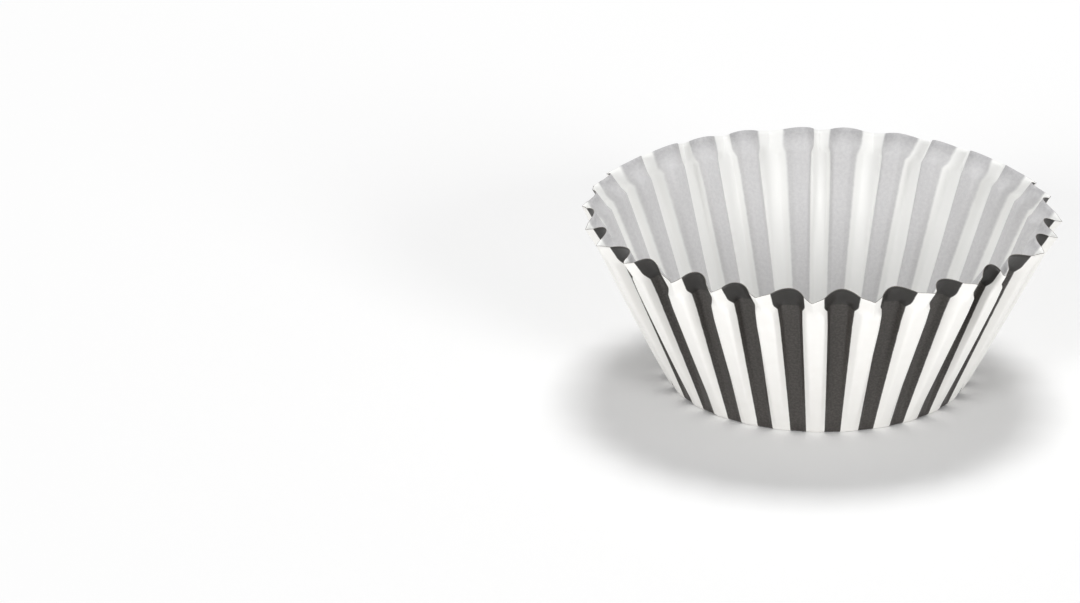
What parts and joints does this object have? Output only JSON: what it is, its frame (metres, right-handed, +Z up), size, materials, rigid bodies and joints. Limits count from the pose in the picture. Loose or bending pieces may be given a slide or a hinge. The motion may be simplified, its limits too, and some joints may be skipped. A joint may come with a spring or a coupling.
{
  "type": "paper baking cup",
  "caption": "Fluted baking cup pressed from one disc of striped greaseproof paper, with a flat round floor and a flared scalloped rim.",
  "frame": {"origin": "centre of the floor's underside, on the surface that the cup stands on", "axes": "+Z up through the open mouth; +X through the crest of one flute"},
  "size_m": [0.0804, 0.0804, 0.0307],
  "materials": {
    "printed_paper": "matt off-white greaseproof paper, printed outside with charcoal stripes in the valleys"
  },
  "bodies": {
    "root": {"paper_cup": "printed_paper"}
  },
  "joints": []
}
